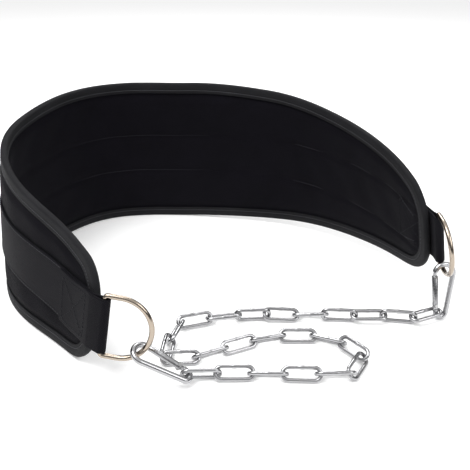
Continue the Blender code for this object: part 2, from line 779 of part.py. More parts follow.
def main():
    for old in list(bpy.data.objects):
        bpy.data.objects.remove(old, do_unlink=True)
    padding = material("padding", (0.012, 0.011, 0.015), 0.85, 0)
    binding = material("binding", (0.030, 0.030, 0.033), 0.7, 0)
    webbing = material("webbing", (0.020, 0.019, 0.024), 0.75, 0)
    nickel = material("nickel", (0.66, 0.60, 0.54), 0.18, 1)
    zinc = material("zinc", (0.62, 0.62, 0.62), 0.25, 1)
    gate_zinc = material("gate_zinc", (0.58, 0.58, 0.58), 0.3, 1)
    rivet_steel = material("rivet_steel", (0.5, 0.5, 0.5), 0.3, 1)
    chain_zinc = material("chain_zinc", (0.60, 0.60, 0.61), 0.28, 1)

    build_belt_body(padding)
    build_edge_binding(binding)
    build_webbing_strap(webbing)
    for side in ("left", "right"):
        build_d_ring(side, nickel)
        build_snap_hook(side, zinc, gate_zinc, rivet_steel)
    build_chain(chain_zinc)


main()
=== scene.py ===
"""Dip belt dressed for a studio view: crowned padding with seam channels, ribbed binding, woven webbing,
thread and plated metal, on a pale floor under soft light.

The first part lays out the same shapes as the model's own solids, in the same frame and from the same
named sizes. The second part builds the finer surfaces on them.
"""

import json
import math

import bmesh
import bpy
import numpy as np
from mathutils import Matrix, Vector

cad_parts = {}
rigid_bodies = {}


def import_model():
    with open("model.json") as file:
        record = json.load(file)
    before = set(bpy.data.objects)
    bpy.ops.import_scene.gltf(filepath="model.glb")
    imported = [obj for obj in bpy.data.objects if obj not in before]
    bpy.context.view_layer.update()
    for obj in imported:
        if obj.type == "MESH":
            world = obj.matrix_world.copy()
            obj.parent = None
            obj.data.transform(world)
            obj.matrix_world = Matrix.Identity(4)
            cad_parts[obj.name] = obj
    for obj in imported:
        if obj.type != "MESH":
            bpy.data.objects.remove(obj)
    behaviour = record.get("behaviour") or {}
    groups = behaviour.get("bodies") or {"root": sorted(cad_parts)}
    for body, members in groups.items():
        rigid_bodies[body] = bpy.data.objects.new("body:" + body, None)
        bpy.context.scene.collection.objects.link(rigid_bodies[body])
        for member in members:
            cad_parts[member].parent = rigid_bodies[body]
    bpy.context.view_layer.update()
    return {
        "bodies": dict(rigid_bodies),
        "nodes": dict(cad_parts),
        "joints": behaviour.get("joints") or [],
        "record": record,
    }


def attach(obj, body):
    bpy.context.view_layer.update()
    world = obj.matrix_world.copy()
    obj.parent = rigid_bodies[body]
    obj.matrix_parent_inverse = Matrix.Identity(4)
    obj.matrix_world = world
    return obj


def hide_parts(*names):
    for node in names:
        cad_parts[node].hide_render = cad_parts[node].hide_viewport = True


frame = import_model()

# Padded panel
BELT_LENGTH = 0.810
BACK_WIDTH = 0.166
END_RADIUS = 0.026
PAD_THICKNESS = 0.007
RIM_THICKNESS = 0.0036

# Edge binding tape, folded over the rim
TAPE_THICKNESS = 0.001
TAPE_FOLD_WIDTH = 0.010
TAPE_GAP = 0.0006
CLEARANCE = 0.0003

# Webbing strap
STRAP_WIDTH = 0.047
STRAP_THICKNESS = 0.002
STRAP_TAIL = 0.048
LOOP_REACH = 0.013
LOOP_PINCH = 0.0006
LOOP_START = -128
LOOP_END = 62
LOOP_STEPS = 8

# D-rings
RING_WIRE = 0.0045
RING_INNER_WIDTH = 0.048
RING_INNER_DEPTH = 0.035
RING_CORNER_RADIUS = 0.0024

# Snap hooks
HOOK_LENGTH = 0.056
HOOK_WIRE = 0.005
HOOK_WIDE_RADIUS = 0.0090
HOOK_NARROW_RADIUS = 0.0050
HOOK_RING_SLACK = 0.0016
HOOK_LINK_SLACK = 0.0010
NOSE_WIRE = 0.0032
NOSE_LENGTH = 0.0026
TONGUE_THICKNESS = 0.0020
TONGUE_START = 0.003
TONGUE_TO_PIVOT = 0.0044
GATE_WIRE = 0.0054
GATE_PAST_PIVOT = 0.0022
GATE_GAP = 0.0007

# Chain
LINK_WIRE = 0.0035
LINK_PITCH = 0.0281
LINK_OUTER_WIDTH = 0.014
LINK_END_STEPS = 5

# Bend of the belt in plan: share of the half length, heading in degrees. Past 1 it is the strap's loop.
BEND = (
    (-1.0, 125),
    (-0.8, 137),
    (-0.6, 115),
    (-0.4, 74),
    (-0.2, 55),
    (0.0, 8),
    (0.2, -8),
    (0.4, -20),
    (0.6, -47),
    (0.8, -63),
    (1.0, -75),
    (1.022, -25),
)

# Pattern of the panel: share of the half length, share of the back width
TAPER = (
    (0.0, 1.0),
    (0.2, 0.99),
    (0.4, 0.935),
    (0.6, 0.815),
    (0.8, 0.69),
    (0.9, 0.61),
    (1.0, 0.46),
)

# The right arm is carried off the ground: share of the half length, share of the lift
RIGHT_LIFT = 0.031
RISE = (
    (-1.0, 0.38),
    (-0.9, 0.0),
    (0.0, 0.0),
    (0.1, 0.0),
    (0.2, 0.045),
    (0.4, 0.2),
    (0.6, 0.43),
    (0.8, 0.64),
    (0.9, 0.74),
    (1.0, 1.06),
)

# Lean of the top edge in towards the waist: share of the half length, degrees
LEAN = (
    (-1.0, 11),
    (-0.5, 5),
    (0.0, 3),
    (0.5, 2),
    (1.0, 10),
)

# How each end's ring and hook hang: ring swing about its bar, hook's place round the ring's bow,
# hook's heading over the ground, turn about its own length (degrees), height of its narrow end
HANG = {
    "left": {"swing": 50, "bow": -42, "heading": -6, "turn": 260, "rest": 0.0092},
    "right": {"swing": -64, "bow": -88, "heading": -95, "turn": 105, "rest": 0.0079},
}

# The chain's route over the ground, from the right hook to the left hook, in millimetres
CHAIN_ROUTE = (
    (287, -252),
    (259, -248),
    (227, -248),
    (172, -244),
    (117, -247),
    (89, -252),
    (65, -263),
    (63, -289),
    (58, -309),
    (81, -311),
    (104, -301),
    (129, -288),
    (156, -279),
    (183, -277),
    (209, -285),
    (229, -303),
    (227, -329),
    (199, -335),
    (141, -333),
    (113, -334),
)

# Roll of each link about its own length, in degrees: 0 stands on edge and 90 lies flat
LINK_ROLLS = (
    -85, 5, -75, 0, 60, -50, 10, 70, -40, 40, -40, 50,
    -45, 45, -45, 45, -45, 45, -45, 50, -40, 50, -45, 25,
)

HALF_LENGTH = BELT_LENGTH / 2
HALF_PAD = PAD_THICKNESS / 2
HALF_RIM = RIM_THICKNESS / 2
TAPE_EDGE = TAPE_GAP + TAPE_THICKNESS
MILLIMETRE = 0.001


def smooth_table(table, share):
    """Read a table at a share, on a smooth curve that never overshoots its rows."""
    places = [row[0] for row in table]
    values = [row[1] for row in table]
    slopes = [(values[i + 1] - values[i]) / (places[i + 1] - places[i]) for i in range(len(table) - 1)]
    tangents = [slopes[0]]
    for before, after in zip(slopes[:-1], slopes[1:]):
        tangents.append(0 if before * after <= 0 else 2 * before * after / (before + after))
    tangents.append(slopes[-1])
    share = min(max(share, places[0]), places[-1])
    row = min(max(int(np.searchsorted(places, share)) - 1, 0), len(slopes) - 1)
    span = places[row + 1] - places[row]
    t = (share - places[row]) / span
    start = (1 + 2 * t) * (1 - t) ** 2 * values[row] + t * (1 - t) ** 2 * span * tangents[row]
    end = t * t * (3 - 2 * t) * values[row + 1] + t * t * (t - 1) * span * tangents[row + 1]
    return start + end


# The belt's course in plan, worked out once at even steps
COURSE_STEPS = 860
COURSE_END = HALF_LENGTH + 2 * LOOP_REACH
COURSE_ALONG = np.linspace(-COURSE_END, COURSE_END, COURSE_STEPS + 1)
COURSE_HEADING = np.radians([smooth_table(BEND, along / HALF_LENGTH) for along in COURSE_ALONG])


def square_half_width(along):
    """Half the panel's width before its corners are rounded."""
    return BACK_WIDTH / 2 * smooth_table(TAPER, min(abs(along) / HALF_LENGTH, 1))


def half_width(along):
    """Half the panel's width, with its round end corners."""
    into_corner = max(abs(along) - (HALF_LENGTH - END_RADIUS), 0)
    drop = END_RADIUS - math.sqrt(max(END_RADIUS ** 2 - into_corner ** 2, 0))
    return square_half_width(along) - drop


def foot_height(along):
    """Height of the belt's lower edge above the ground."""
    return RIGHT_LIFT * smooth_table(RISE, along / HALF_LENGTH)


def course_points():
    """Sum up the headings into plan points. The belt's foot at the middle of the back is x = y = 0."""
    step = 2 * COURSE_END / COURSE_STEPS
    middle = (COURSE_HEADING[1:] + COURSE_HEADING[:-1]) / 2
    x = np.concatenate([[0], np.cumsum(np.cos(middle) * step)])
    y = np.concatenate([[0], np.cumsum(np.sin(middle) * step)])
    heading = float(np.interp(0, COURSE_ALONG, COURSE_HEADING))
    foot = (square_half_width(0) + TAPE_EDGE) * math.sin(math.radians(smooth_table(LEAN, 0)))
    x += math.sin(heading) * foot - np.interp(0, COURSE_ALONG, x)
    y -= math.cos(heading) * foot + np.interp(0, COURSE_ALONG, y)
    return x, y


COURSE_X, COURSE_Y = course_points()


def belt_frame(along):
    """Point on the middle line, heading, outward and upward directions there."""
    inside = min(max(along, -HALF_LENGTH), HALF_LENGTH)
    heading = float(np.interp(inside, COURSE_ALONG, COURSE_HEADING))
    tangent = Vector((math.cos(heading), math.sin(heading), 0))
    lean = math.radians(smooth_table(LEAN, inside / HALF_LENGTH))
    away = Vector((-tangent.y, tangent.x, 0))
    up = Vector((0, 0, 1)) * math.cos(lean) - away * math.sin(lean)
    out = away * math.cos(lean) + Vector((0, 0, 1)) * math.sin(lean)
    x = float(np.interp(inside, COURSE_ALONG, COURSE_X))
    y = float(np.interp(inside, COURSE_ALONG, COURSE_Y))
    rise = foot_height(inside) + (square_half_width(inside) + TAPE_EDGE) * math.cos(lean)
    point = Vector((x, y, rise))
    if along == inside:
        return point, tangent, out, up
    # Past the pad's end only the strap goes on, and it turns about the end's own upward direction
    past = Vector((float(np.interp(along, COURSE_ALONG, COURSE_X)) - x,
                   float(np.interp(along, COURSE_ALONG, COURSE_Y)) - y, 0))
    point += tangent * past.dot(tangent) + out * past.dot(away)
    turn = float(np.interp(along, COURSE_ALONG, COURSE_HEADING)) - heading
    turned = Matrix.Rotation(turn, 3, up)
    return point, turned @ tangent, turned @ out, up


def place(along, across, out_by):
    """Point of the belt in space."""
    point, tangent, out, up = belt_frame(along)
    return point + up * across + out * out_by


def skin_rings(rings, closed):
    """Points and faces of a solid through rings of equal count, closed on itself or capped."""
    count = len(rings[0])
    points = [point for ring in rings for point in ring]
    faces = []
    spans = len(rings) if closed else len(rings) - 1
    for i in range(spans):
        here = i * count
        there = (i + 1) % len(rings) * count
        for j in range(count):
            k = (j + 1) % count
            faces.append((here + j, here + k, there + k, there + j))
    if not closed:
        faces.append(tuple(reversed(range(count))))
        faces.append(tuple(range((len(rings) - 1) * count, len(rings) * count)))
    return points, faces


def flat_wire(path, normal, radii, sides, closed):
    """Rings of a wire along a path in one plane. radii holds (in plane, along normal) for each point."""
    rings = []
    last = len(path) - 1
    for i, point in enumerate(path):
        before = path[(i - 1) % len(path)] if closed or i > 0 else point
        after = path[(i + 1) % len(path)] if closed or i < last else point
        run_in = (point - before).normalized() if before is not point else (after - point).normalized()
        run_out = (after - point).normalized() if after is not point else run_in
        tangent = (run_in + run_out).normalized()
        side = tangent.cross(normal).normalized()
        stretch = 1 / max(tangent.dot(run_out), 0.5)
        in_plane, along_normal = radii[i]
        ring = []
        for j in range(sides):
            angle = 2 * math.pi * (j + 0.5) / sides
            ring.append(point + side * (in_plane * stretch * math.cos(angle))
                        + normal * (along_normal * math.sin(angle)))
        rings.append(ring)
    return rings


def arc(centre, radius, start, end, steps):
    """Points of an arc in the local plane, angles in degrees, both ends included."""
    return [
        (centre[0] + radius * math.cos(math.radians(start + (end - start) * i / steps)),
         centre[1] + radius * math.sin(math.radians(start + (end - start) * i / steps)))
        for i in range(steps + 1)
    ]


def edge_inward(along, across):
    """Direction in from the panel's edge, in the flat pattern."""
    if abs(along) >= HALF_LENGTH:
        return Vector((-math.copysign(1, along), 0))
    tiny = END_RADIUS * 1e-4
    slope = (half_width(along + tiny) - half_width(along - tiny)) / (2 * tiny)
    return Vector((slope, -math.copysign(1, across))).normalized()


STRAP_MIDDLE = HALF_PAD + CLEARANCE + STRAP_THICKNESS / 2
TAIL_MIDDLE = STRAP_MIDDLE + STRAP_THICKNESS + CLEARANCE
BAR_ALONG = HALF_LENGTH + LOOP_REACH
LOOP_HALF_STEP = math.radians(LOOP_END - LOOP_START) / LOOP_STEPS / 2
LOOP_RADIUS = (RING_WIRE / 2 + CLEARANCE + STRAP_THICKNESS / 2) / math.cos(LOOP_HALF_STEP)


def ring_frame(side):
    """Matrix of a D-ring: x away from its bar, y along the bar, z across its plane."""
    sign = -1 if side == "left" else 1
    bar_along = sign * BAR_ALONG
    point, tangent, _, up = belt_frame(bar_along)
    slip = (RING_INNER_WIDTH - STRAP_WIDTH) / 2 - CLEARANCE
    bar = point - up * slip
    swing = Matrix.Rotation(math.radians(HANG[side]["swing"]), 3, up)
    away = swing @ (tangent * sign)
    across = away.cross(up)
    frame = Matrix((away, up, across)).transposed().to_4x4()
    frame.translation = bar
    return frame


RING_HALF = (RING_INNER_WIDTH + RING_WIRE) / 2
RING_BOW_CENTRE = RING_INNER_DEPTH + RING_WIRE - RING_HALF


# A hook's own frame: x towards its spine, y towards its wide end, origin at the wide end's centre
HOOK_CENTRES = HOOK_LENGTH - HOOK_WIRE - HOOK_WIDE_RADIUS - HOOK_NARROW_RADIUS
HOOK_RING_SEAT = HOOK_WIDE_RADIUS - HOOK_WIRE / 2 - HOOK_RING_SLACK - RING_WIRE / 2
HOOK_LINK_SEAT = HOOK_WIRE / 2 + HOOK_LINK_SLACK + LINK_WIRE / 2 - HOOK_NARROW_RADIUS - HOOK_CENTRES
HOOK_SIDE_ANGLE = math.degrees(math.asin((HOOK_WIDE_RADIUS - HOOK_NARROW_RADIUS) / HOOK_CENTRES))
HOOK_SIDE_RUN = math.sqrt(HOOK_CENTRES ** 2 - (HOOK_WIDE_RADIUS - HOOK_NARROW_RADIUS) ** 2)


def gate_line(distance):
    """Point on the hook's open side, measured from the narrow end's arc towards the nose."""
    angle = math.radians(180 + HOOK_SIDE_ANGLE)
    start = Vector((HOOK_NARROW_RADIUS * math.cos(angle), HOOK_NARROW_RADIUS * math.sin(angle) - HOOK_CENTRES))
    end = Vector((HOOK_WIDE_RADIUS * math.cos(angle), HOOK_WIDE_RADIUS * math.sin(angle)))
    return start.lerp(end, distance / HOOK_SIDE_RUN)


PIVOT_DISTANCE = TONGUE_START + TONGUE_TO_PIVOT


def hook_frame(side):
    """Matrix of a hook that holds its ring and lies with its narrow end on the ground."""
    hang = HANG[side]
    ring = ring_frame(side)
    bow = math.radians(hang["bow"])
    seat = ring @ Vector((RING_BOW_CENTRE + RING_HALF * math.cos(bow), RING_HALF * math.sin(bow), 0))
    reach = HOOK_RING_SEAT - HOOK_LINK_SEAT
    drop = math.asin(min((seat.z - hang["rest"]) / reach, 1))
    heading = math.radians(hang["heading"])
    level = Vector((math.cos(heading), math.sin(heading), 0))
    down = level * math.cos(drop) - Vector((0, 0, 1)) * math.sin(drop)
    y = -down
    z = level.cross(Vector((0, 0, 1)))
    z.rotate(Matrix.Rotation(math.radians(hang["turn"]), 3, y))
    x = y.cross(z)
    frame = Matrix((x, y, z)).transposed().to_4x4()
    frame.translation = seat - y * HOOK_RING_SEAT
    return frame


def hook_bow(start):
    """The hook's wire from near its nose, over the wide end and the spine, round the narrow end."""
    wide = arc((0, 0), HOOK_WIDE_RADIUS, start, -HOOK_SIDE_ANGLE, 12)
    return wide + arc((0, -HOOK_CENTRES), HOOK_NARROW_RADIUS, -HOOK_SIDE_ANGLE, HOOK_SIDE_ANGLE - 180, 8)


def hook_end(side):
    """Where the chain's end wire sits in a hook's narrow end."""
    return hook_frame(side) @ Vector((0, HOOK_LINK_SEAT, 0))


# From a place where two links meet to the middle of either link's end wire, on a straight run
LINK_HOLD = LINK_WIRE / 2 + CLEARANCE
TURN_PASSES = 6
LEAST_COSINE = 0.4
SETTLE_PASSES = 120
PARTING_STEPS = 14


def route_curve():
    """Dense points of a smooth line over the ground, from the right hook to the left hook."""
    start = hook_end("right").to_2d()
    end = hook_end("left").to_2d()
    knots = [start] + [Vector(point) * MILLIMETRE for point in CHAIN_ROUTE] + [end]
    knots = [knots[0] * 2 - knots[1]] + knots + [knots[-1] * 2 - knots[-2]]
    steps = 80
    curve = []
    for a, b, c, d in zip(knots[:-3], knots[1:-2], knots[2:-1], knots[3:]):
        for i in range(steps):
            t = i / steps
            curve.append(0.5 * (2 * b + (c - a) * t + (2 * a - 5 * b + 4 * c - d) * t ** 2
                                + (3 * b - a - 3 * c + d) * t ** 3))
    return [point for point in curve if min((point - start).length, (point - end).length) > LINK_HOLD]


def link_height(roll):
    """Height of a link's middle when it lies on the ground at a roll."""
    half_gauge = (LINK_OUTER_WIDTH - LINK_WIRE) / 2
    return half_gauge * abs(math.cos(math.radians(roll))) + LINK_WIRE / 2


def joint_heights():
    """Heights of the places where links meet, so that every link stays off the ground's far side."""
    heights = [link_height(roll) for roll in LINK_ROLLS]
    joints = [max(pair) for pair in zip(heights[:-1], heights[1:])]
    return [hook_end("right").z] + joints + [hook_end("left").z]


def march(curve, heights, holds):
    """Step along the curve by each link's own reach. Returns the joints and the gap left at the end."""
    joints = [curve[0].to_3d()]
    joints[0].z = heights[0]
    index = 0
    for i, height in enumerate(heights[1:]):
        here = joints[-1]
        reach = LINK_PITCH + LINK_WIRE - holds[i] - holds[i + 1]
        level = math.sqrt(reach ** 2 - (height - here.z) ** 2)
        while index < len(curve) - 1 and (curve[index] - here.to_2d()).length < level:
            index += 1
        if (curve[index] - here.to_2d()).length < level * (1 - 1e-6):
            return joints, -1
        inner = curve[index - 1]
        outer = curve[index]
        reach_in = (inner - here.to_2d()).length
        reach_out = (outer - here.to_2d()).length
        share = (level - reach_in) / (reach_out - reach_in) if reach_out > reach_in else 1
        spot = inner.lerp(outer, share)
        joints.append(Vector((spot.x, spot.y, height)))
    left_over = sum((b - a).length for a, b in zip(curve[index:-1], curve[index + 1:]))
    return joints, left_over + (curve[index] - joints[-1].to_2d()).length


def chain_joints():
    """Places where neighbouring links meet, and how far past them each end wire's middle lies."""
    curve = route_curve()
    heights = joint_heights()
    openings = [1] * len(heights)
    for _ in range(TURN_PASSES):
        tight = 0.8 * LINK_HOLD
        loose = 2 * LINK_HOLD
        for _ in range(24):
            hold = (tight + loose) / 2
            holds = [LINK_HOLD] + [hold * opening for opening in openings[1:-1]] + [LINK_HOLD]
            joints, left_over = march(curve, heights, holds)
            if left_over < 0:
                tight = hold
            else:
                loose = hold
                best = joints, holds
        joints, holds = best
        runs = [(after - before).normalized() for before, after in zip(joints[:-1], joints[1:])]
        # Where the chain turns, two links hold each other by their sides and draw closer
        turns = [max((run_in + run_out).length / 2, LEAST_COSINE) for run_in, run_out in zip(runs[:-1], runs[1:])]
        openings = [1] + [1 / cosine for cosine in turns] + [1]
    return joints, holds


def link_loops():
    """Middle lines of all links as laid along the route, and the direction across each link's plane."""
    half_gauge = (LINK_OUTER_WIDTH - LINK_WIRE) / 2
    half_straight = (LINK_PITCH + LINK_WIRE) / 2 - half_gauge
    shape = arc((half_straight, 0), half_gauge, -90, 90, LINK_END_STEPS)
    shape += arc((-half_straight, 0), half_gauge, 90, 270, LINK_END_STEPS)
    joints, holds = chain_joints()
    loops = []
    normals = []
    for i, (start, end) in enumerate(zip(joints[:-1], joints[1:])):
        run = (end - start).normalized()
        level = run.cross(Vector((0, 0, 1))).normalized()
        above = level.cross(run)
        roll = math.radians(LINK_ROLLS[i])
        normal = level * math.cos(roll) + above * math.sin(roll)
        side = normal.cross(run)
        centre = (start + end) / 2 + run * ((holds[i + 1] - holds[i]) / 2)
        loops.append(np.array([centre + run * x + side * y for x, y in shape]))
        normals.append(normal)
    return loops, normals


def parting(one, other, distance):
    """Shift that brings the other closed line to at least a distance from the first."""
    shares = np.arange(PARTING_STEPS)[:, None, None] / PARTING_STEPS
    fine_one = (one * (1 - shares) + np.roll(one, -1, axis=0) * shares).reshape(-1, 3)
    fine_other = (other * (1 - shares) + np.roll(other, -1, axis=0) * shares).reshape(-1, 3)
    between = fine_other[None] - fine_one[:, None]
    lengths = np.sqrt((between ** 2).sum(axis=2))
    nearest = np.unravel_index(lengths.argmin(), lengths.shape)
    length = lengths[nearest]
    return between[nearest] * (max(distance - length, 0) / length)


def settle_links(loops):
    """Shift whole links until all wires are clear of each other, of the hooks and of the ground."""
    hooks = []
    for side in ("right", "left"):
        frame = hook_frame(side)
        hooks.append(np.array([frame @ Vector((x, y, 0)) for x, y in hook_bow(180 + HOOK_SIDE_ANGLE)]))
    link_gap = LINK_WIRE + CLEARANCE
    hook_gap = (LINK_WIRE + GATE_WIRE) / 2 + CLEARANCE
    for _ in range(SETTLE_PASSES):
        for i in range(len(loops) - 1):
            shift = parting(loops[i], loops[i + 1], link_gap)
            loops[i] = loops[i] - shift / 2
            loops[i + 1] = loops[i + 1] + shift / 2
        loops[0] = loops[0] + parting(hooks[0], loops[0], hook_gap)
        loops[-1] = loops[-1] + parting(hooks[1], loops[-1], hook_gap)
        for loop in loops:
            loop[:, 2] += max(LINK_WIRE / 2 - loop[:, 2].min(), 0)
    return loops

# The finer surfaces
FINE_STATIONS = 300
FINE_COLUMNS = 44
SEAM_ACROSS = 0.022
SEAM_DEPTH = 0.0016
SEAM_WIDTH = 0.0022
PUFF = 0.0009
WIRE_SIDES = 20
STITCH_PITCH = 0.0036
STITCH_LENGTH = 0.0027
THREAD_RADIUS = 0.00032
THREAD_SIDES = 6
FINE_CORNER_STEPS = 14
EDGE_SHARE = 0.25
# The padding rises from its thin rim just inside the binding
PAD_RISE_START = 0.0102
PAD_RISE_WIDTH = 0.009
# Slight unevenness of the padding's faces
WAVE_HEIGHT = 0.00035
WAVE_LENGTH = 0.0071
WAVE_WIDTH = 0.017
WAVE_SLANT = 2.2
# The padding is pressed in a little under the strap and puffs up beside it
STRAP_PRESS = 0.0002
PUFF_REACH = 0.006
HEM_DEPTH = 0.0066
BOX_END_MARGIN = 0.006
BOX_TAIL_MARGIN = 0.004
SEAM_END_MARGIN = 0.017
SEAM_END_RUN = 0.03
LINK_FINE_SIDES = 14
LINK_FINE_STEPS = 16


def add_skin(name, rings, closed, run_lengths, section_lengths, finish):
    """A smooth mesh through rings, with texture coordinates in metres along it and round its section."""
    points, faces = skin_rings(rings, closed)
    mesh = bpy.data.meshes.new(name)
    mesh.from_pydata([Vector(point) for point in points], [], faces)
    layer = mesh.uv_layers.new(name="UVMap")
    count = len(rings[0])
    spans = len(rings) if closed else len(rings) - 1
    index = 0
    for i in range(spans):
        for j in range(count):
            for corner, (a, b) in enumerate(((i, j), (i, j + 1), (i + 1, j + 1), (i + 1, j))):
                layer.data[index + corner].uv = (run_lengths[a], section_lengths[b])
            index += 4
    shape = bmesh.new()
    shape.from_mesh(mesh)
    bmesh.ops.recalc_face_normals(shape, faces=shape.faces)
    shape.to_mesh(mesh)
    shape.free()
    mesh.shade_smooth()
    mesh.set_sharp_from_angle(angle=math.radians(50))
    made = bpy.data.objects.new(name, mesh)
    made.data.materials.append(finish)
    bpy.context.scene.collection.objects.link(made)
    return made


def running(points):
    """Lengths along a line of points, starting at 0, with the way back to its start as the last one."""
    lengths = [0.0]
    for before, after in zip(points, list(points[1:]) + [points[0]]):
        lengths.append(lengths[-1] + (Vector(after) - Vector(before)).length)
    return lengths


def edge_distance(along, across):
    """Distance in from the panel's edge, round its corners too."""
    to_edge = min(half_width(along) - abs(across), HALF_LENGTH - abs(along))
    past_along = abs(along) - (HALF_LENGTH - END_RADIUS)
    past_across = abs(across) - (square_half_width(along) - END_RADIUS)
    if past_along > 0 and past_across > 0:
        to_edge = END_RADIUS - math.hypot(past_along, past_across)
    return to_edge


def crown(along, across, side):
    """How far the padding's face stands out: thin under the binding, puffed between its seams."""
    rise = min(max((edge_distance(along, across) - PAD_RISE_START) / PAD_RISE_WIDTH, 0), 1)
    rise = rise * rise * (3 - 2 * rise)
    wave = WAVE_HEIGHT * math.sin(along / WAVE_LENGTH + WAVE_SLANT * math.sin(across / WAVE_WIDTH))
    beside = abs(across) - STRAP_WIDTH / 2
    if side > 0:
        lift = PUFF * (1 - math.exp(-beside / PUFF_REACH)) + wave if beside > 0 else -STRAP_PRESS
    else:
        seam = abs(abs(across) - SEAM_ACROSS)
        lift = PUFF + wave - SEAM_DEPTH * math.exp(-(seam / SEAM_WIDTH) ** 2)
    return HALF_RIM + (HALF_PAD + lift - HALF_RIM) * rise


def fine_stations():
    """Places along the panel for its fine sections, closer together round the end corners."""
    corner = [HALF_LENGTH - END_RADIUS * (1 - math.sin(math.radians(90 * i / FINE_CORNER_STEPS)))
              for i in range(1, FINE_CORNER_STEPS + 1)]
    straight = HALF_LENGTH - END_RADIUS
    middle = [straight * (2 * i / FINE_STATIONS - 1) for i in range(FINE_STATIONS + 1)]
    return [-along for along in reversed(corner)] + middle + corner


def dress_panel(finish):
    """The padding as one closed skin. Its sections close up towards the edges."""
    rings = []
    stations = fine_stations()
    for along in stations:
        point, _, out, up = belt_frame(along)
        half = half_width(along)
        shares = [2 * i / FINE_COLUMNS - 1 for i in range(FINE_COLUMNS + 1)]
        columns = [half * math.sin(math.pi / 2 * share) * EDGE_SHARE + half * share * (1 - EDGE_SHARE)
                   for share in shares]
        outer = [point + up * across + out * crown(along, across, 1) for across in columns]
        inner = [point + up * across - out * crown(along, across, -1) for across in reversed(columns)]
        rings.append(outer + inner)
    half = BACK_WIDTH / 2
    outward = [half * (2 * i / FINE_COLUMNS - 1) for i in range(FINE_COLUMNS + 1)]
    section = outward + list(reversed(outward)) + [outward[0]]
    panel = add_skin("padded_panel", rings, False, stations, section, finish)
    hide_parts("belt_body")
    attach(panel, "root")


def binding_places():
    """Pattern points round the panel's edge: along, across and whether the belt stands there."""
    stations = fine_stations()
    straight = HALF_LENGTH - END_RADIUS
    lower = [(along, -half_width(along), abs(along) <= straight) for along in stations]
    upper = [(along, half_width(along), False) for along in reversed(stations)]
    return lower + upper


def dress_binding(finish):
    """The folded tape. Returns the piece and its flat width and length."""
    inside = HALF_RIM + TAPE_GAP
    outside = inside + TAPE_THICKNESS
    # Depth in from the panel's edge and out from its middle: inner edge, ridge, stitched dip, rounded fold
    section = [(TAPE_FOLD_WIDTH, outside - 0.0003), (TAPE_FOLD_WIDTH - 0.0004, outside),
               (0.0078, outside + 0.0001), (0.0066, outside - 0.0004), (0.0054, outside),
               (0.003, outside), (0.001, outside - 0.0001)]
    bend = TAPE_THICKNESS
    for angle in (65, 40, 15):
        turned = math.radians(angle)
        section.append((bend - (bend + TAPE_EDGE) * math.cos(turned), outside * math.sin(turned)))
    section += [(depth, -out_by) for depth, out_by in reversed(section)]
    section += [(TAPE_FOLD_WIDTH, -inside), (-TAPE_GAP, -inside)]
    section += [(-TAPE_GAP, inside), (TAPE_FOLD_WIDTH, inside)]
    rings = []
    for along, across, on_ground_side in binding_places():
        inward = edge_inward(along, across)
        ring = []
        for depth, out_by in section:
            point = place(along + inward.x * depth, across + inward.y * depth, out_by)
            if on_ground_side:
                point.z = max(point.z, foot_height(along))
            ring.append(point)
        rings.append(ring)
    run = running([ring[9] for ring in rings])
    round_section = running([Vector((a, b, 0)) for a, b in section])
    binding = add_skin("ribbed_binding", rings, True, run, round_section, finish)
    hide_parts("edge_binding")
    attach(binding, "root")
    return binding, (2 * (TAPE_FOLD_WIDTH + TAPE_EDGE) + 2 * outside, run[-1])


def fine_strap_course():
    """The strap's middle line with round loops."""
    pinch = HALF_LENGTH + TAPE_EDGE + LOOP_PINCH
    radius = RING_WIRE / 2 + CLEARANCE + STRAP_THICKNESS / 2
    loop = arc((BAR_ALONG, 0), radius, LOOP_START, LOOP_END, 28)
    right = [(pinch, STRAP_MIDDLE)] + loop + [(pinch, TAIL_MIDDLE + CLEARANCE)]
    right += [(HALF_LENGTH - tenth / 10 * STRAP_TAIL, TAIL_MIDDLE) for tenth in range(1, 11)]
    left = [(-along, out_by) for along, out_by in reversed(right)]
    middle = [(along, STRAP_MIDDLE) for along in fine_stations()[1:-1]]
    return left + middle + right


def dress_strap(finish):
    """The webbing with raised edges. Returns the piece and its flat width and length."""
    course = [Vector(point) for point in fine_strap_course()]
    half = STRAP_THICKNESS / 2
    wide = STRAP_WIDTH / 2
    profile = [(-1, 0.35), (-0.985, 0.8), (-0.95, 1), (-0.9, 0.9), (-0.86, 1), (-0.5, 0.97), (0, 1),
               (0.5, 0.97), (0.86, 1), (0.9, 0.9), (0.95, 1), (0.985, 0.8), (1, 0.35)]
    section = [(wide * a, half * b) for a, b in profile] + [(wide * a, -half * b) for a, b in reversed(profile)]
    rings = []
    for i, point in enumerate(course):
        before = course[i - 1] if i > 0 else None
        after = course[i + 1] if i < len(course) - 1 else None
        run_in = (point - before).normalized() if before else (after - point).normalized()
        run_out = (after - point).normalized() if after else run_in
        run = (run_in + run_out).normalized()
        side = Vector((-run.y, run.x)) / max(run.dot(run_out), 0.5)
        rings.append([place(point.x + side.x * thick, across, point.y + side.y * thick)
                      for across, thick in section])
    run = running([(ring[6] + ring[-7]) / 2 for ring in rings])
    round_section = running([Vector((a, b, 0)) for a, b in section])
    strap = add_skin("woven_strap", rings, False, run, round_section, finish)
    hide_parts("webbing_strap")
    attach(strap, "root")
    return strap, (STRAP_WIDTH, run[-2])


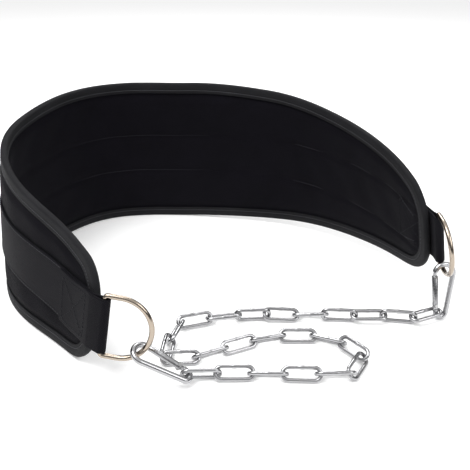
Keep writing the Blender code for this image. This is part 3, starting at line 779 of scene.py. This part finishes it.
def dress_rings(finish):
    """Round, smooth D-rings."""
    corner = RING_CORNER_RADIUS
    for side in ("left", "right"):
        shape = [(0, corner - RING_HALF), (0, 0), (0, RING_HALF - corner)]
        shape += arc((corner, RING_HALF - corner), corner, 180, 90, 8)[1:]
        shape += arc((RING_BOW_CENTRE, 0), RING_HALF, 90, -90, 40)
        shape += arc((corner, corner - RING_HALF), corner, -90, -180, 8)[:-1]
        place_in = ring_frame(side)
        path = [place_in @ Vector((x, y, 0)) for x, y in shape]
        normal = place_in.to_3x3() @ Vector((0, 0, 1))
        wire = RING_WIRE / 2
        rings = flat_wire(path, normal, [(wire, wire)] * len(path), WIRE_SIDES, True)
        section = [2 * math.pi * wire * j / WIRE_SIDES for j in range(WIRE_SIDES + 1)]
        made = add_skin("ring_" + side, rings, True, running(path), section, finish)
        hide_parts("d_ring_" + side)
        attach(made, "root")


def dress_hooks(finish, gate_finish, rivet_finish):
    """The hooks' bent wires and their gates. The rivets keep their own solids."""
    section = [2 * math.pi * HOOK_WIRE / 2 * j / WIRE_SIDES for j in range(WIRE_SIDES + 1)]
    for side in ("left", "right"):
        place_in = hook_frame(side)
        turn = place_in.to_3x3()
        normal = turn @ Vector((0, 0, 1))
        open_side = 180 + HOOK_SIDE_ANGLE
        nose_turn = math.degrees(NOSE_LENGTH / HOOK_WIDE_RADIUS)
        shape = arc((0, 0), HOOK_WIDE_RADIUS, open_side, open_side - nose_turn, 2)
        radii = [NOSE_WIRE / 2] * 3
        bow = arc((0, 0), HOOK_WIDE_RADIUS, open_side - nose_turn - 3, -HOOK_SIDE_ANGLE, 36)
        bow += arc((0, -HOOK_CENTRES), HOOK_NARROW_RADIUS, -HOOK_SIDE_ANGLE, HOOK_SIDE_ANGLE - 180, 24)
        shape += bow + [tuple(gate_line(TONGUE_START))]
        radii += [HOOK_WIRE / 2] * (len(bow) + 1)
        shape += [tuple(gate_line(TONGUE_START + CLEARANCE)), tuple(gate_line(PIVOT_DISTANCE))]
        pairs = [(radius, radius) for radius in radii] + [(HOOK_WIRE / 2, TONGUE_THICKNESS / 2)] * 2
        path = [place_in @ Vector((x, y, 0)) for x, y in shape]
        rings = flat_wire(path, normal, pairs, WIRE_SIDES, False)
        body = add_skin("hook_" + side, rings, False, running(path), section, finish)
        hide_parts("snap_hook_" + side)
        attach(body, "root")

        pivot = place_in @ gate_line(PIVOT_DISTANCE).to_3d()
        along = turn @ (gate_line(HOOK_SIDE_RUN) - gate_line(0)).normalized().to_3d()
        tip = place_in @ gate_line(HOOK_SIDE_RUN - GATE_GAP).to_3d()
        back = pivot - along * GATE_PAST_PIVOT
        round_end = 0.0006
        wire = GATE_WIRE / 2
        line = [back, back + along * round_end, pivot, tip - along * round_end, tip]
        widths = [(wire - round_end, wire - round_end), (wire, wire), (wire, wire), (wire, wire),
                  (wire - round_end, wire - round_end)]
        gate_rings = flat_wire(line, normal, widths, WIRE_SIDES, False)
        gate = add_skin("gate_bar_" + side, gate_rings, False, running(line), section, gate_finish)
        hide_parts("gate_" + side)
        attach(gate, "gate_" + side)
        for material_slot in frame["nodes"]["rivet_" + side].material_slots:
            material_slot.material = rivet_finish


def dress_links(finish):
    """Round links, each with the slight swelling of its weld in the middle of one side."""
    half_gauge = (LINK_OUTER_WIDTH - LINK_WIRE) / 2
    half_straight = (LINK_PITCH + LINK_WIRE) / 2 - half_gauge
    # Share of the half straight, share of the wire's radius
    swelling = ((0.3, 1), (0.16, 1.05), (0.06, 1.13), (-0.06, 1.13), (-0.16, 1.05), (-0.3, 1))
    weld = [(share * half_straight, bulge) for share, bulge in swelling]
    shape = arc((half_straight, 0), half_gauge, -90, 90, LINK_FINE_STEPS)
    swell = [1.0] * len(shape)
    shape += [(x, half_gauge) for x, _ in weld]
    swell += [bulge for _, bulge in weld]
    far = arc((-half_straight, 0), half_gauge, 90, 270, LINK_FINE_STEPS)
    shape += far
    swell += [1.0] * len(far)
    loops, normals = link_loops()
    sides = LINK_FINE_SIDES
    section = [2 * math.pi * LINK_WIRE / 2 * j / sides for j in range(sides + 1)]
    for i, (loop, normal) in enumerate(zip(settle_links(loops), normals)):
        centre = Vector(loop.mean(axis=0))
        half = len(loop) // 2
        run = Vector(loop[:half].mean(axis=0) - loop[half:].mean(axis=0)).normalized()
        side = normal.cross(run)
        path = [centre + run * x + side * y for x, y in shape]
        wire = LINK_WIRE / 2
        rings = flat_wire(path, normal, [(wire * factor, wire * factor) for factor in swell], sides, True)
        made = add_skin("link_%02d" % (i + 1), rings, True, running(path), section, finish)
        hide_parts("chain_link_%02d" % (i + 1))
        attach(made, "root")


def stitch_points(line, height):
    """Ends and outward direction of each stitch along a line of pattern points (along, across)."""
    stitches = []
    for start, end in zip(line[:-1], line[1:]):
        start = Vector(start)
        end = Vector(end)
        length = (end - start).length
        count = max(int(length / STITCH_PITCH), 1)
        for i in range(count):
            a = start.lerp(end, (i + 0.12) / count)
            b = start.lerp(end, (i + 0.12 + STITCH_LENGTH / STITCH_PITCH) / count)
            out = belt_frame(a.x)[2] * (1 if height(a.x, a.y) > 0 else -1)
            stitches.append((place(a.x, a.y, height(a.x, a.y)), place(b.x, b.y, height(b.x, b.y)), out))
    return stitches


def add_stitches(name, stitches, finish):
    """Every stitch is a short rounded thread that sinks in at both ends."""
    points = []
    faces = []
    for start, end, out in stitches:
        along = (end - start).normalized()
        across = along.cross(out).normalized()
        first = len(points)
        for share, radius, lift in ((0, 0.35, -0.5), (0.22, 1, 0.25), (0.78, 1, 0.25), (1, 0.35, -0.5)):
            spot = start.lerp(end, share) + out * (THREAD_RADIUS * lift)
            for j in range(THREAD_SIDES):
                angle = 2 * math.pi * j / THREAD_SIDES
                points.append(spot + across * (THREAD_RADIUS * radius * math.cos(angle))
                              + out * (THREAD_RADIUS * radius * math.sin(angle)))
        for i in range(3):
            for j in range(THREAD_SIDES):
                k = (j + 1) % THREAD_SIDES
                here = first + THREAD_SIDES * i
                there = here + THREAD_SIDES
                faces.append((here + j, here + k, there + k, there + j))
        last = first + 3 * THREAD_SIDES
        faces.append(tuple(first + j for j in reversed(range(THREAD_SIDES))))
        faces.append(tuple(last + j for j in range(THREAD_SIDES)))
    mesh = bpy.data.meshes.new(name)
    mesh.from_pydata(points, [], faces)
    mesh.shade_smooth()
    made = bpy.data.objects.new(name, mesh)
    made.data.materials.append(finish)
    bpy.context.scene.collection.objects.link(made)
    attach(made, "root")


def inner_face(along, across):
    return -crown(along, across, -1) - THREAD_RADIUS * 0.3


def strap_face(along, across):
    return STRAP_MIDDLE + STRAP_THICKNESS / 2


def tail_face(along, across):
    return TAIL_MIDDLE + STRAP_THICKNESS / 2


def dress_seams(finish):
    """Two rows of thread along the inner face, and along the strap between its tails."""
    reach = HALF_LENGTH - SEAM_END_MARGIN
    straight = reach - SEAM_END_RUN
    tail = HALF_LENGTH - STRAP_TAIL
    seams = []
    for across in (-SEAM_ACROSS, SEAM_ACROSS):
        end = across * 0.6
        line = [(-reach, end), (-straight, across), (straight, across), (reach, end)]
        seams += stitch_points(line, inner_face)
        seams += stitch_points([(-tail, across * 0.98), (tail, across * 0.98)], strap_face)
    add_stitches("seam_thread", seams, finish)


def dress_boxes(finish):
    """A crossed box of thread at each end of the strap, on the tail and through to the inner face."""
    top = STRAP_WIDTH / 2 - BOX_TAIL_MARGIN
    box = []
    for sign in (-1, 1):
        near = sign * (HALF_LENGTH - BOX_END_MARGIN)
        far = sign * (HALF_LENGTH - STRAP_TAIL + BOX_TAIL_MARGIN)
        for face, high in ((tail_face, top), (inner_face, top * 0.72)):
            lines = [[(near, -high), (near, high)], [(far, -top), (far, top)],
                     [(near, -high), (far, top)], [(near, high), (far, -top)],
                     [(near, -high), (far, -top)], [(near, high), (far, top)]]
            for line in lines:
                box += stitch_points(line, face)
    add_stitches("box_thread", box, finish)


def dress_hem(finish):
    """Thread round the binding, on both faces."""
    places = []
    for along, across, _ in binding_places():
        inward = edge_inward(along, across)
        places.append((along + inward.x * HEM_DEPTH, across + inward.y * HEM_DEPTH))
    places.append(places[0])
    tape = HALF_RIM + TAPE_GAP + TAPE_THICKNESS
    hem = stitch_points(places, lambda along, across: tape)
    hem += stitch_points(places, lambda along, across: -tape)
    add_stitches("hem_thread", hem, finish)


def node(tree, kind, **values):
    """A new shader node with the given properties set."""
    made = tree.nodes.new(kind)
    for key, value in values.items():
        setattr(made, key, value)
    return made


def math_node(tree, operation, first, second=None):
    """Output of a math node whose inputs are numbers or other outputs."""
    made = node(tree, "ShaderNodeMath", operation=operation)
    for slot_index, value in enumerate((first, second)):
        if value is None:
            continue
        if isinstance(value, (int, float)):
            made.inputs[slot_index].default_value = value
        else:
            tree.links.new(value, made.inputs[slot_index])
    return made.outputs[0]


def cloth(name, dark, light, warp, weft, roughness, relief, wear):
    """Woven cloth: warp and weft are the thread pitches in metres along and across the texture."""
    made = bpy.data.materials.new(name)
    made.use_nodes = True
    tree = made.node_tree
    shader = tree.nodes["Principled BSDF"]
    place_node = node(tree, "ShaderNodeUVMap", uv_map="UVMap")
    split = node(tree, "ShaderNodeSeparateXYZ")
    tree.links.new(place_node.outputs[0], split.inputs[0])
    along = math_node(tree, "SINE", math_node(tree, "MULTIPLY", split.outputs[0], 2 * math.pi / warp))
    across = math_node(tree, "SINE", math_node(tree, "MULTIPLY", split.outputs[1], 2 * math.pi / weft))
    weave = math_node(tree, "MULTIPLY_ADD", math_node(tree, "MULTIPLY", along, across), 0.5)
    tree.nodes[-1].inputs[2].default_value = 0.5
    fuzz = node(tree, "ShaderNodeTexNoise")
    fuzz.inputs["Scale"].default_value = 900
    fuzz.inputs["Detail"].default_value = 3
    tree.links.new(place_node.outputs[0], fuzz.inputs["Vector"])
    patch = node(tree, "ShaderNodeTexNoise")
    patch.inputs["Scale"].default_value = 22
    patch.inputs["Detail"].default_value = 4
    tree.links.new(place_node.outputs[0], patch.inputs["Vector"])
    height = math_node(tree, "ADD", weave, math_node(tree, "MULTIPLY", fuzz.outputs["Fac"], 0.35))
    shade = math_node(tree, "ADD", math_node(tree, "MULTIPLY", weave, 0.6),
                      math_node(tree, "MULTIPLY", math_node(tree, "SUBTRACT", patch.outputs["Fac"], 0.3), wear))
    mix = node(tree, "ShaderNodeMix", data_type="RGBA")
    tree.links.new(shade, mix.inputs["Factor"])
    colour_in = [s for s in mix.inputs if s.type == "RGBA"]
    colour_in[0].default_value = (*dark, 1)
    colour_in[1].default_value = (*light, 1)
    colour_out = [s for s in mix.outputs if s.type == "RGBA"][0]
    tree.links.new(colour_out, shader.inputs["Base Color"])
    bump = node(tree, "ShaderNodeBump")
    bump.inputs["Strength"].default_value = 0.8
    bump.inputs["Distance"].default_value = relief
    tree.links.new(height, bump.inputs["Height"])
    tree.links.new(bump.outputs[0], shader.inputs["Normal"])
    shader.inputs["Roughness"].default_value = roughness
    shader.inputs["Sheen Weight"].default_value = 0.015
    shader.inputs["Specular IOR Level"].default_value = 0.1
    shader.inputs["Sheen Roughness"].default_value = 0.4
    return made


def metal(name, colour, roughness, ripple):
    """Plated metal with faint unevenness and rubbed patches."""
    made = bpy.data.materials.new(name)
    made.use_nodes = True
    tree = made.node_tree
    shader = tree.nodes["Principled BSDF"]
    place_node = node(tree, "ShaderNodeUVMap", uv_map="UVMap")
    rough = node(tree, "ShaderNodeTexNoise")
    rough.inputs["Scale"].default_value = 260
    rough.inputs["Detail"].default_value = 5
    tree.links.new(place_node.outputs[0], rough.inputs["Vector"])
    spread = node(tree, "ShaderNodeMapRange")
    spread.inputs["To Min"].default_value = roughness * 0.7
    spread.inputs["To Max"].default_value = roughness * 1.5
    tree.links.new(rough.outputs["Fac"], spread.inputs["Value"])
    tree.links.new(spread.outputs["Result"], shader.inputs["Roughness"])
    bump = node(tree, "ShaderNodeBump")
    bump.inputs["Strength"].default_value = 0.3
    bump.inputs["Distance"].default_value = ripple
    tree.links.new(rough.outputs["Fac"], bump.inputs["Height"])
    tree.links.new(bump.outputs[0], shader.inputs["Normal"])
    shader.inputs["Base Color"].default_value = (*colour, 1)
    shader.inputs["Metallic"].default_value = 1
    return made


def area_light(name, location, target, size, power):
    """A square light turned towards a target."""
    lamp = bpy.data.lights.new(name, "AREA")
    lamp.shape = "SQUARE"
    lamp.size = size
    lamp.energy = power
    made = bpy.data.objects.new(name, lamp)
    made.location = location
    made.rotation_euler = (Vector(target) - Vector(location)).to_track_quat("-Z", "Y").to_euler()
    bpy.context.scene.collection.objects.link(made)


def set_the_stage():
    """Pale floor, soft light and the camera."""
    size = 60.0
    mesh = bpy.data.meshes.new("floor")
    mesh.from_pydata([(-size, -size, 0), (size, -size, 0), (size, size, 0), (-size, size, 0)], [], [(0, 1, 2, 3)])
    floor = bpy.data.objects.new("floor", mesh)
    bpy.context.scene.collection.objects.link(floor)
    paper = bpy.data.materials.new("floor_paper")
    paper.use_nodes = True
    shader = paper.node_tree.nodes["Principled BSDF"]
    shader.inputs["Base Color"].default_value = (0.93, 0.93, 0.93, 1)
    shader.inputs["Roughness"].default_value = 0.9
    shader.inputs["Specular IOR Level"].default_value = 0.1
    shader.inputs["Emission Color"].default_value = (1, 1, 1, 1)
    shader.inputs["Emission Strength"].default_value = 0.2
    mesh.materials.append(paper)

    world = bpy.data.worlds.new("studio")
    world.use_nodes = True
    # Darker towards the horizon and bright overhead, which gives the metal its contrast
    tree = world.node_tree
    place_node = node(tree, "ShaderNodeTexCoord")
    split = node(tree, "ShaderNodeSeparateXYZ")
    ramp = node(tree, "ShaderNodeValToRGB")
    tree.links.new(place_node.outputs["Generated"], split.inputs[0])
    tree.links.new(split.outputs[2], ramp.inputs["Fac"])
    tree.links.new(ramp.outputs["Color"], tree.nodes["Background"].inputs["Color"])
    ramp.color_ramp.elements[0].position = 0.2
    ramp.color_ramp.elements[0].color = (0.05, 0.05, 0.055, 1)
    ramp.color_ramp.elements[1].position = 0.75
    ramp.color_ramp.elements[1].color = (1.0, 1.0, 1.0, 1)
    tree.nodes["Background"].inputs["Strength"].default_value = 0.9
    bpy.context.scene.world = world

    middle = (0.1, -0.15, 0.05)
    area_light("key", (-0.5, -0.5, 1.5), middle, 1.0, 20)
    area_light("fill", (1.1, -0.9, 0.9), middle, 0.7, 6)
    area_light("back", (0.2, 1.1, 1.2), middle, 0.6, 8)

    # The photo's own viewpoint: above the floor, looking 25.6 degrees down
    lens = bpy.data.cameras.new("camera")
    lens.lens = 51.6
    lens.sensor_width = 36.0
    camera = bpy.data.objects.new("camera", lens)
    camera.location = (0.1207, -0.7786, 0.3441)
    camera.rotation_euler = (math.radians(90 - 25.56), 0, 0)
    bpy.context.scene.collection.objects.link(camera)
    bpy.context.scene.camera = camera
    bpy.context.scene.view_settings.view_transform = "Standard"


def main():
    padding = cloth("padding_cloth", (0.0008, 0.0007, 0.0016), (0.0058, 0.0050, 0.0090),
                    0.0010, 0.0010, 0.85, 0.00025, 0.5)
    binding = cloth("binding_cloth", (0.0006, 0.0006, 0.0012), (0.034, 0.034, 0.038),
                    0.0015, 0.0018, 0.6, 0.0006, 0.4)
    webbing = cloth("webbing_cloth", (0.0008, 0.0007, 0.0014), (0.0085, 0.0077, 0.0120),
                    0.0016, 0.0022, 0.68, 0.0004, 0.4)
    thread = cloth("dark_thread", (0.018, 0.018, 0.021), (0.07, 0.07, 0.078),
                   0.0006, 0.0006, 0.5, 0.0001, 0.4)
    hem_thread = cloth("hem_thread_cloth", (0.04, 0.04, 0.045), (0.13, 0.13, 0.14),
                       0.0006, 0.0006, 0.5, 0.0001, 0.4)
    box_thread = cloth("box_thread_cloth", (0.004, 0.004, 0.006), (0.022, 0.022, 0.026),
                       0.0006, 0.0006, 0.5, 0.0001, 0.4)
    dress_panel(padding)
    binding_piece, binding_flat = dress_binding(binding)
    strap_piece, strap_flat = dress_strap(webbing)
    print("flat sizes", binding_flat, strap_flat)
    dress_seams(thread)
    dress_boxes(box_thread)
    dress_hem(hem_thread)
    dress_rings(metal("nickel_plate", (0.40, 0.34, 0.28), 0.17, 0.00003))
    dress_hooks(metal("zinc_plate", (0.42, 0.42, 0.43), 0.2, 0.00003),
                metal("gate_plate", (0.36, 0.36, 0.37), 0.24, 0.00003),
                metal("rivet_plate", (0.5, 0.5, 0.5), 0.3, 0.00002))
    dress_links(metal("chain_plate", (0.40, 0.40, 0.41), 0.2, 0.00004))
    set_the_stage()


main()
